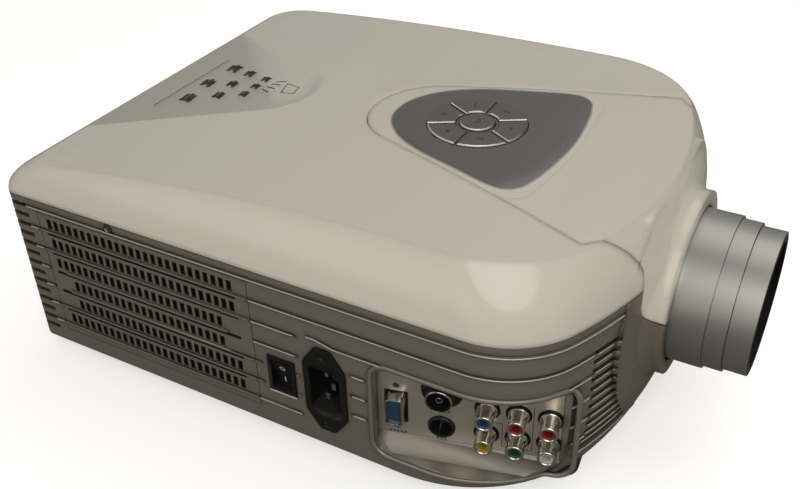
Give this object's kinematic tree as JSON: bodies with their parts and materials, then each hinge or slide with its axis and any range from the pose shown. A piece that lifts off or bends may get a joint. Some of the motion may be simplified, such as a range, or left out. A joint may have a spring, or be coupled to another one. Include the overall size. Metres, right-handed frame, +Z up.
{
  "type": "video projector",
  "caption": "Desktop video projector with a white cover, ribbed silver base, shield-shaped keypad, focusing lens, side sockets, switch and a lift-off slotted side panel.",
  "frame": {"origin": "on the table, under the middle of the whole length and width", "axes": "+X towards the lens, +Z up, sockets on the -Y side"},
  "size_m": [0.357, 0.2354, 0.134],
  "materials": {
    "cover_white": "gloss",
    "base_silver": "satin",
    "pad_grey": "satin",
    "button_silver": "satin",
    "lens_silver": "satin",
    "black_plastic": "matte",
    "grey_plastic": "matte",
    "dark_rubber": "matte",
    "steel": "satin",
    "bright_metal": "polished",
    "brass": "polished",
    "lens_glass": "clear",
    "board_green": "matte",
    "blue_plastic": "gloss",
    "red_plastic": "gloss",
    "yellow_plastic": "gloss",
    "green_plastic": "gloss",
    "white_plastic": "gloss",
    "foam_black": "matte",
    "reflector": "polished"
  },
  "bodies": {
    "casing": {"nose_cap": "cover_white", "top_cover": "cover_white", "base_shell": "base_silver", "dust_filter": "foam_black", "control_pad": "pad_grey", "keypad_board": "board_green", "keypad_domes": "dark_rubber", "rocker_housing": "black_plastic", "inlet_housing": "black_plastic", "inlet_pins": "bright_metal", "input_plate": "steel", "input_board": "board_green", "vga_shell": "bright_metal", "vga_insert": "blue_plastic", "aerial_shell": "bright_metal", "aerial_core": "brass", "svideo_jack": "black_plastic", "rca_shells": "bright_metal", "rca_insert_yellow": "yellow_plastic", "rca_insert_green": "green_plastic", "rca_insert_white": "white_plastic", "rca_insert_blue": "blue_plastic", "rca_inserts_red": "red_plastic", "lens_mount": "grey_plastic", "lens_barrel": "lens_silver", "rear_lens": "lens_glass", "optics_tunnel": "grey_plastic", "condenser_lens": "lens_glass", "heat_glass": "lens_glass", "fresnel_rear": "lens_glass", "lcd_panel": "lens_glass", "fresnel_front": "lens_glass", "lamp_holder": "grey_plastic", "lamp_reflector": "reflector", "lamp_bulb": "lens_glass", "exhaust_fan_frame": "black_plastic", "intake_fan_frame": "black_plastic", "power_board": "board_green", "power_parts": "black_plastic", "main_board": "board_green", "speaker": "black_plastic", "front_feet": "dark_rubber", "rear_feet": "dark_rubber", "casing_screws": "steel", "side_screws": "steel"},
    "side_panel": {"side_panel": "base_silver"},
    "rocker": {"rocker": "black_plastic"},
    "focus_ring": {"focus_ring": "lens_silver"},
    "front_barrel": {"front_barrel": "lens_silver", "front_lens": "lens_glass"},
    "exhaust_rotor": {"exhaust_fan_rotor": "black_plastic"},
    "intake_rotor": {"intake_fan_rotor": "black_plastic"},
    "button_centre": {"button_centre": "button_silver"},
    "button_front": {"button_front": "button_silver"},
    "button_front_left": {"button_front_left": "button_silver"},
    "button_rear_left": {"button_rear_left": "button_silver"},
    "button_rear": {"button_rear": "button_silver"},
    "button_rear_right": {"button_rear_right": "button_silver"},
    "button_front_right": {"button_front_right": "button_silver"}
  },
  "joints": [
    {"name": "press_centre", "type": "slide", "parent": "casing", "child": "button_centre", "axis": [0, 0, 1], "range_m": [-0.001, 0], "stiffness_N_per_m": 350, "springref_m": 0.001},
    {"name": "press_front", "type": "slide", "parent": "casing", "child": "button_front", "axis": [0, 0, 1], "range_m": [-0.001, 0], "stiffness_N_per_m": 350, "springref_m": 0.001},
    {"name": "press_front_left", "type": "slide", "parent": "casing", "child": "button_front_left", "axis": [0, 0, 1], "range_m": [-0.001, 0], "stiffness_N_per_m": 350, "springref_m": 0.001},
    {"name": "press_rear_left", "type": "slide", "parent": "casing", "child": "button_rear_left", "axis": [0, 0, 1], "range_m": [-0.001, 0], "stiffness_N_per_m": 350, "springref_m": 0.001},
    {"name": "press_rear", "type": "slide", "parent": "casing", "child": "button_rear", "axis": [0, 0, 1], "range_m": [-0.001, 0], "stiffness_N_per_m": 350, "springref_m": 0.001},
    {"name": "press_rear_right", "type": "slide", "parent": "casing", "child": "button_rear_right", "axis": [0, 0, 1], "range_m": [-0.001, 0], "stiffness_N_per_m": 350, "springref_m": 0.001},
    {"name": "press_front_right", "type": "slide", "parent": "casing", "child": "button_front_right", "axis": [0, 0, 1], "range_m": [-0.001, 0], "stiffness_N_per_m": 350, "springref_m": 0.001},
    {"name": "rocker_pivot", "type": "hinge", "parent": "casing", "child": "rocker", "pos_m": [-0.0135, -0.1123, 0.0444], "axis": [1, 0, 0], "range_deg": [-20, 0]},
    {"name": "focus_turn", "type": "hinge", "parent": "casing", "child": "focus_ring", "pos_m": [0.1635, 0, 0.074], "axis": [1, 0, 0], "range_deg": [0, 270]},
    {"name": "focus_slide", "type": "slide", "parent": "casing", "child": "front_barrel", "axis": [1, 0, 0], "range_m": [0, 0.008]},
    {"name": "panel_lift_off", "type": "slide", "parent": "casing", "child": "side_panel", "axis": [0, -1, 0], "range_m": [0, 0.06]},
    {"name": "exhaust_spin", "type": "hinge", "parent": "casing", "child": "exhaust_rotor", "pos_m": [-0.1622, 0, 0.053], "axis": [1, 0, 0], "continuous": true},
    {"name": "intake_spin", "type": "hinge", "parent": "casing", "child": "intake_rotor", "pos_m": [-0.0955, -0.097, 0.043], "axis": [0, -1, 0], "continuous": true}
  ],
  "couplings": [
    {"joint": "focus_slide", "follows": "focus_turn", "m_per_rad": 0.0016977}
  ]
}
